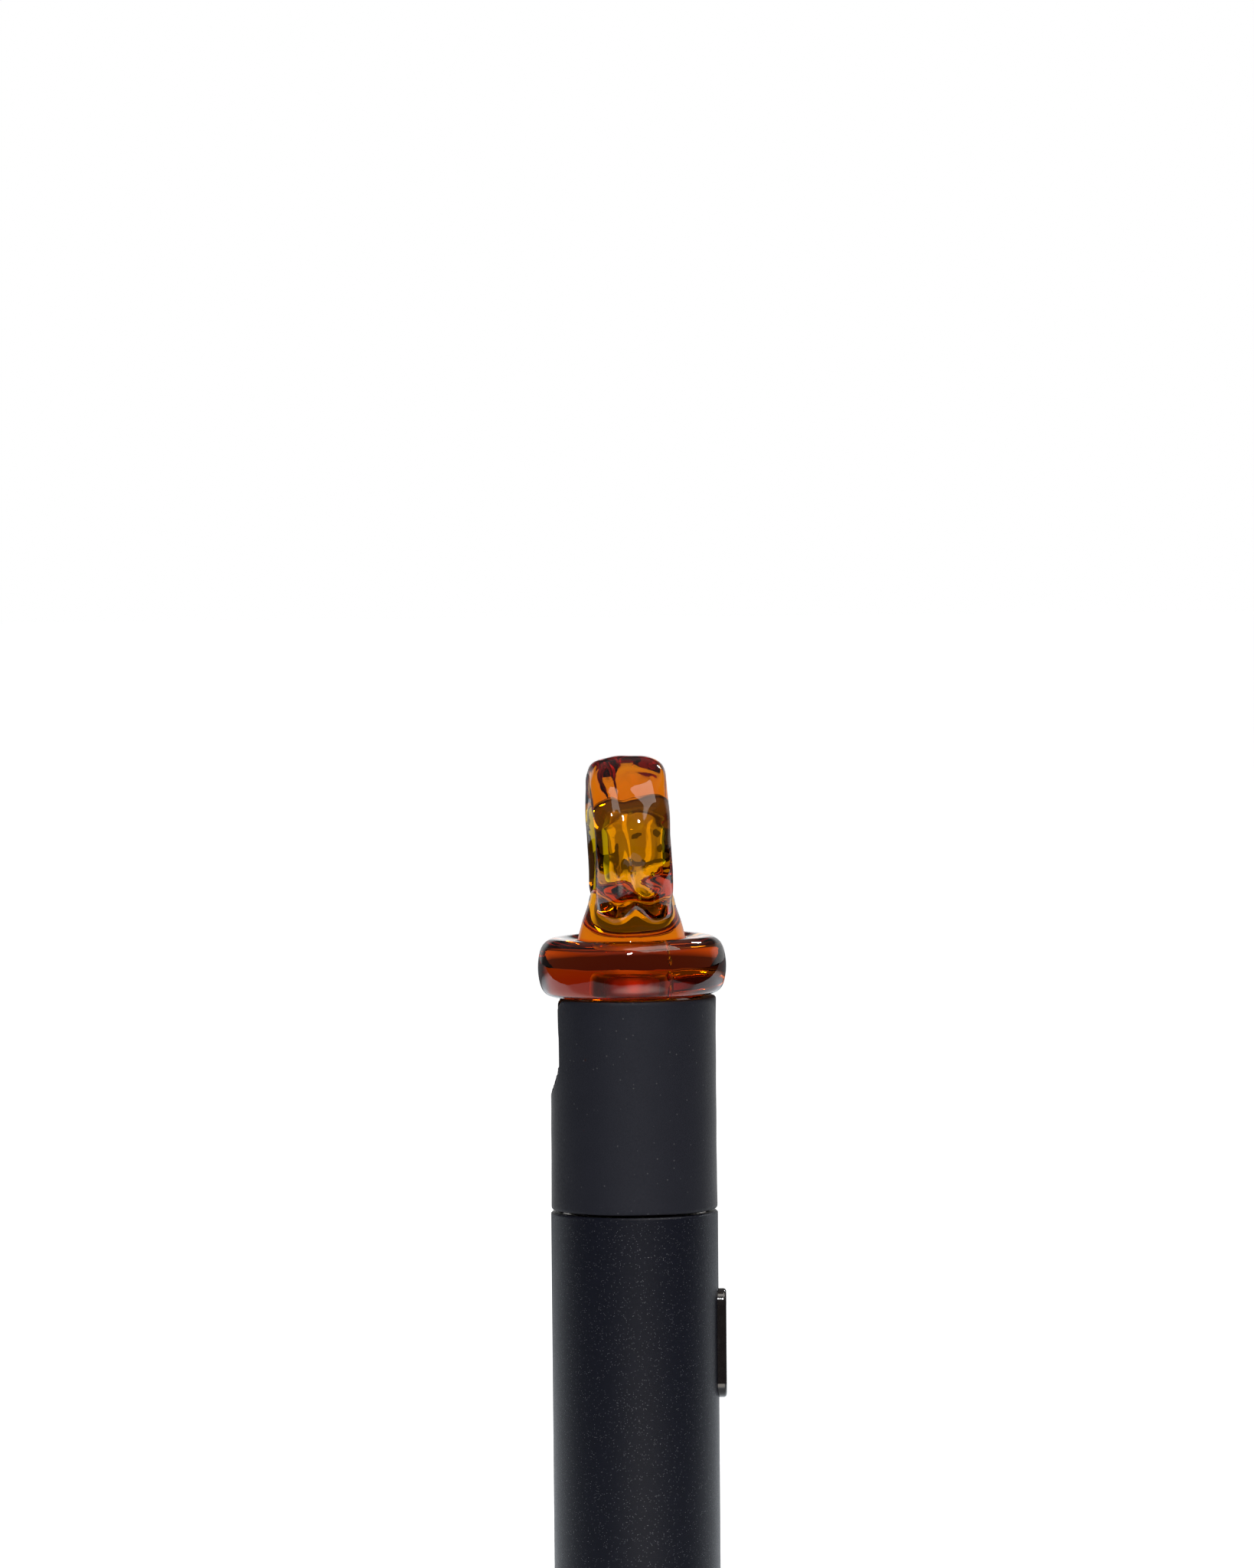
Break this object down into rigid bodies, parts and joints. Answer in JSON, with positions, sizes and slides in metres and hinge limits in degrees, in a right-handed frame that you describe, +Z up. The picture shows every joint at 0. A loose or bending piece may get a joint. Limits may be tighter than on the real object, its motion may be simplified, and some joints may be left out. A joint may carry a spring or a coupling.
{
  "type": "handheld vaporizer",
  "caption": "Pen-shaped battery body with a side button, screw-in heating chamber, soft mouthpiece sleeve and a loose amber glass cap with a finger loop.",
  "frame": {"origin": "centre of the underside, on the surface that the object stands on", "axes": "+Z up the body axis towards the glass cap, +X towards the button, -X towards the cut-out in the sleeve"},
  "size_m": [0.026, 0.026, 0.1479],
  "materials": {
    "anodised_black": "bead blasted, black anodised",
    "soft_black": "matte soft touch",
    "amber_glass": "clear amber, fire polished",
    "button_gloss": "polished black",
    "silicone_grey": "satin silicone",
    "silicone_black": "satin silicone",
    "steel": "fine turned",
    "nickel": "bright nickel plate",
    "spring_steel": "drawn wire",
    "gold_contact": "gold plated",
    "board": "solder mask on glass fibre",
    "chip": "moulded epoxy",
    "led": "clear epoxy over phosphor",
    "peek": "machined polymer",
    "nylon": "moulded nylon",
    "cell_wrap": "heat-shrink sleeve over a metal can",
    "fibre_paper": "insulating board",
    "flex": "polyimide film",
    "wire_red": "silicone wire",
    "ceramic_white": "fired, satin",
    "heater_ceramic": "fired alumina"
  },
  "bodies": {
    "battery_unit": {"body_tube": "anodised_black", "base_cap": "anodised_black", "base_gasket": "silicone_black", "base_screws": "steel", "usb_socket": "nickel", "usb_tongue": "chip", "charge_board": "board", "charge_chip": "chip", "chassis": "nylon", "battery_cell": "cell_wrap", "cell_insulator": "fibre_paper", "cell_terminal": "nickel", "positive_tab": "nickel", "negative_tab": "nickel", "charge_flex": "flex", "main_board": "board", "board_chips": "chip", "status_led": "led", "switch_case": "chip", "button_seal": "silicone_grey", "button_frame": "nylon", "connector_socket": "nickel", "socket_insulator": "peek", "pin_spring": "spring_steel", "heater_wires": "wire_red"},
    "button": {"button_cap": "button_gloss", "switch_plunger": "chip"},
    "sprung_pin": {"contact_pin": "gold_contact"},
    "stud_ring": {"stud_seal": "silicone_black"},
    "chamber": {"chamber_base": "steel", "sleeve_o_rings": "silicone_black", "contact_insulator": "peek", "centre_contact": "gold_contact", "heater_base": "peek", "heater_cup": "heater_ceramic", "heater_leads": "nickel", "ceramic_bowl": "ceramic_white", "chamber_shell": "steel", "chamber_gasket": "silicone_grey", "chamber_ring": "steel"},
    "sleeve": {"mouthpiece_sleeve": "soft_black"},
    "gasket": {"cap_gasket": "silicone_grey"},
    "cap": {"glass_cap": "amber_glass"}
  },
  "joints": [
    {"name": "button_press", "type": "slide", "parent": "battery_unit", "child": "button", "axis": [-1, 0, 0], "range_m": [0, 0.0003], "stiffness_N_per_m": 400, "springref_m": -0.001},
    {"name": "pin_press", "type": "slide", "parent": "battery_unit", "child": "sprung_pin", "axis": [0, 0, -1], "range_m": [0, 0.0005], "stiffness_N_per_m": 400, "springref_m": -0.001, "deforming": ["pin_spring"]},
    {"name": "chamber_rise", "type": "slide", "parent": "battery_unit", "child": "stud_ring", "axis": [0, 0, 1], "range_m": [0, 0.00559]},
    {"name": "chamber_turn", "type": "hinge", "parent": "stud_ring", "child": "chamber", "pos_m": [0, 0, 0.085], "axis": [0, 0, 1], "range_deg": [0, 3961]},
    {"name": "sleeve_pull", "type": "slide", "parent": "chamber", "child": "sleeve", "axis": [0, 0, 1], "range_m": [0, 0.032]},
    {"name": "cap_lift", "type": "slide", "parent": "sleeve", "child": "gasket", "axis": [0, 0, 1], "range_m": [0, 0.012]},
    {"name": "cap_turn", "type": "hinge", "parent": "gasket", "child": "cap", "pos_m": [0, 0, 0.113], "axis": [0, 0, 1], "continuous": true}
  ],
  "couplings": [
    {"joint": "chamber_turn", "follows": "chamber_rise", "rad_per_m": 12368}
  ]
}
